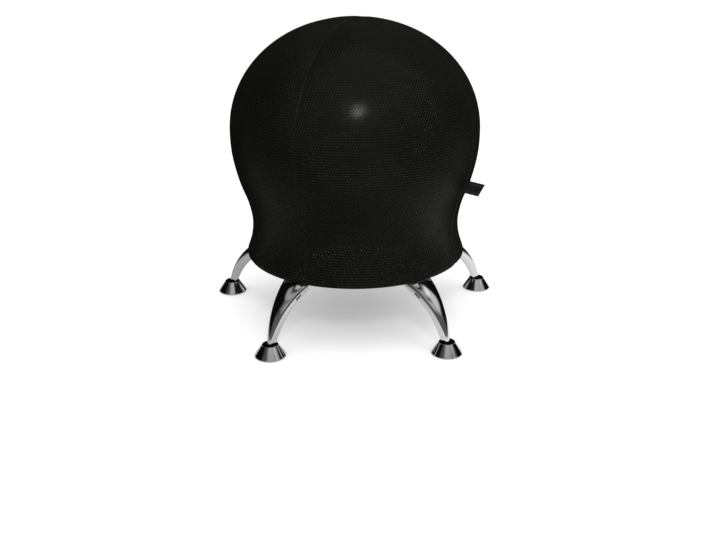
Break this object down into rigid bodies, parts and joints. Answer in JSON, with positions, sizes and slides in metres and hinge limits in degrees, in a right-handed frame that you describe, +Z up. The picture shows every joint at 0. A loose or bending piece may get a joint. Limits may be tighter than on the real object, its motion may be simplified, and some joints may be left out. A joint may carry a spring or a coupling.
{
  "type": "balance ball chair",
  "caption": "Round seat of an inflated ball in a waisted mesh cover over a tube ring, standing on bent tapered chrome legs with tilting bell glides.",
  "frame": {"origin": "on the floor, in the middle of the chair's outer box", "axes": "+Z up, -Y to the front between the two front legs, +X to the right seen from the front"},
  "size_m": [0.5724, 0.5472, 0.5795],
  "materials": {
    "cover_mesh": "black knitted air mesh",
    "ball_vinyl": "smooth vinyl",
    "chrome": "bright chrome plate",
    "black_steel": "black powder coat",
    "black_plastic": "fine moulded plastic",
    "zinc": "zinc plated",
    "zip_nylon": "nylon zip",
    "tag_weave": "ribbed woven tape"
  },
  "bodies": {
    "base": {"cover_panel_front": "cover_mesh", "cover_panel_right": "cover_mesh", "cover_panel_rear": "cover_mesh", "cover_panel_left": "cover_mesh", "cover_floor_panel": "cover_mesh", "ball": "ball_vinyl", "seat_dish": "black_plastic", "frame_ring": "black_steel", "zip_chain": "zip_nylon", "side_tag": "tag_weave", "leg_front_left": "chrome", "leg_insert_front_left": "black_plastic", "stud_front_left": "zinc", "bolt_front_left_a": "zinc", "bolt_front_left_b": "zinc", "leg_front_right": "chrome", "leg_insert_front_right": "black_plastic", "stud_front_right": "zinc", "bolt_front_right_a": "zinc", "bolt_front_right_b": "zinc", "leg_side_right": "chrome", "leg_insert_side_right": "black_plastic", "stud_side_right": "zinc", "bolt_side_right_a": "zinc", "bolt_side_right_b": "zinc", "leg_rear": "chrome", "leg_insert_rear": "black_plastic", "stud_rear": "zinc", "bolt_rear_a": "zinc", "bolt_rear_b": "zinc", "leg_side_left": "chrome", "leg_insert_side_left": "black_plastic", "stud_side_left": "zinc", "bolt_side_left_a": "zinc", "bolt_side_left_b": "zinc"},
    "foot_front_left": {"bell_front_left": "chrome", "pad_front_left": "black_plastic"},
    "foot_front_right": {"bell_front_right": "chrome", "pad_front_right": "black_plastic"},
    "foot_side_right": {"bell_side_right": "chrome", "pad_side_right": "black_plastic"},
    "foot_rear": {"bell_rear": "chrome", "pad_rear": "black_plastic"},
    "foot_side_left": {"bell_side_left": "chrome", "pad_side_left": "black_plastic"},
    "valve_plug": {"valve_plug": "black_plastic"},
    "zip_slider": {"zip_slider": "zinc"},
    "zip_pull": {"zip_pull": "zinc"}
  },
  "joints": [
    {"name": "foot_front_left_tilt", "type": "hinge", "parent": "base", "child": "foot_front_left", "pos_m": [-0.15929, -0.24512, 0.009], "axis": [0.809, -0.5878, 0], "range_deg": [-12, 7]},
    {"name": "foot_front_right_tilt", "type": "hinge", "parent": "base", "child": "foot_front_right", "pos_m": [0.15929, -0.24512, 0.009], "axis": [0.809, 0.5878, 0], "range_deg": [-12, 7]},
    {"name": "foot_side_right_tilt", "type": "hinge", "parent": "base", "child": "foot_side_right", "pos_m": [0.25774, 0.05786, 0.009], "axis": [-0.309, 0.9511, 0], "range_deg": [-12, 7]},
    {"name": "foot_rear_tilt", "type": "hinge", "parent": "base", "child": "foot_rear", "pos_m": [0, 0.24512, 0.009], "axis": [-1, 0, 0], "range_deg": [-12, 7]},
    {"name": "foot_side_left_tilt", "type": "hinge", "parent": "base", "child": "foot_side_left", "pos_m": [-0.25774, 0.05786, 0.009], "axis": [-0.309, -0.9511, 0], "range_deg": [-12, 7]},
    {"name": "valve_plug_pull", "type": "slide", "parent": "base", "child": "valve_plug", "axis": [0, 0, -1], "range_m": [0, 0.03]},
    {"name": "zip_slide", "type": "hinge", "parent": "base", "child": "zip_slider", "pos_m": [0, -0.02588, 0.12135], "axis": [0, 0, 1], "range_deg": [0, 330]},
    {"name": "zip_pull_swing", "type": "hinge", "parent": "zip_slider", "child": "zip_pull", "pos_m": [0.05551, 0.07026, 0.12135], "axis": [0.5, 0.866, 0], "range_deg": [-60, 60]}
  ]
}
